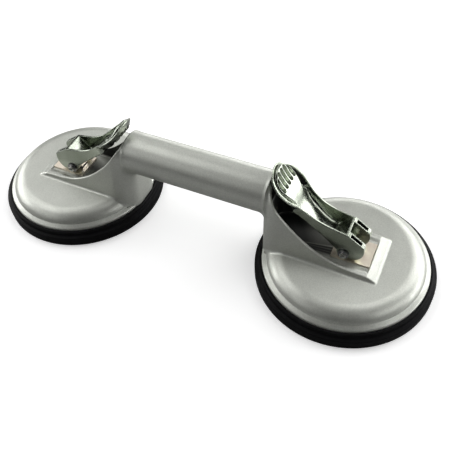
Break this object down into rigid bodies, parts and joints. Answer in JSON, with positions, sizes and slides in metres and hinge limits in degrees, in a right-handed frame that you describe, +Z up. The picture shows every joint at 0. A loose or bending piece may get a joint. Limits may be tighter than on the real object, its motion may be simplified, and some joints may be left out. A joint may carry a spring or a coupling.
{
  "type": "vacuum suction lifter",
  "caption": "Hand lifter with a round suction cup at each end of a cast tubular handle, each cup drawn tight by a hinged cam lever.",
  "frame": {"origin": "on the glass plane under the pads, midway between the two cups", "axes": "+X along the handle, +Y across it, +Z up, away from the glass"},
  "size_m": [0.328, 0.12, 0.0791],
  "materials": {
    "cast_aluminium": "satin shot-blasted casting",
    "rubber": "matte moulded",
    "chrome": "bright plated",
    "zinc_steel": "clear zinc plated",
    "yellow_zinc": "yellow passivated zinc",
    "spring_steel": "drawn wire"
  },
  "bodies": {
    "root": {"body_casting": "cast_aluminium", "right_rubber_pad": "rubber", "right_wear_plate": "yellow_zinc", "right_return_spring": "spring_steel", "left_rubber_pad": "rubber", "left_wear_plate": "yellow_zinc", "left_return_spring": "spring_steel"},
    "right_lift": {"right_core_plate": "zinc_steel", "right_pull_stem": "zinc_steel", "right_lock_nut": "zinc_steel", "right_spring_seat": "zinc_steel", "right_pivot_pin": "zinc_steel", "right_pin_clips": "spring_steel", "right_pin_washers": "zinc_steel"},
    "right_lever": {"right_cam_lever": "chrome"},
    "left_lift": {"left_core_plate": "zinc_steel", "left_pull_stem": "zinc_steel", "left_lock_nut": "zinc_steel", "left_spring_seat": "zinc_steel", "left_pivot_pin": "zinc_steel", "left_pin_clips": "spring_steel", "left_pin_washers": "zinc_steel"},
    "left_lever": {"left_cam_lever": "chrome"}
  },
  "joints": [
    {"name": "right_pad_lift", "type": "slide", "parent": "root", "child": "right_lift", "axis": [0, 0, 1], "range_m": [0, 0.00981], "deforming": ["right_return_spring", "right_rubber_pad"]},
    {"name": "right_lever_turn", "type": "hinge", "parent": "right_lift", "child": "right_lever", "pos_m": [0.104, 0, 0.0281], "axis": [0, 1, 0], "range_deg": [0, 102]},
    {"name": "left_pad_lift", "type": "slide", "parent": "root", "child": "left_lift", "axis": [0, 0, 1], "range_m": [0, 0.00981], "deforming": ["left_return_spring", "left_rubber_pad"]},
    {"name": "left_lever_turn", "type": "hinge", "parent": "left_lift", "child": "left_lever", "pos_m": [-0.104, 0, 0.0281], "axis": [0, -1, 0], "range_deg": [0, 102]}
  ],
  "couplings": [
    {"joint": "right_pad_lift", "follows": "right_lever_turn", "m_per_rad": 0.0055049},
    {"joint": "left_pad_lift", "follows": "left_lever_turn", "m_per_rad": 0.0055049}
  ]
}
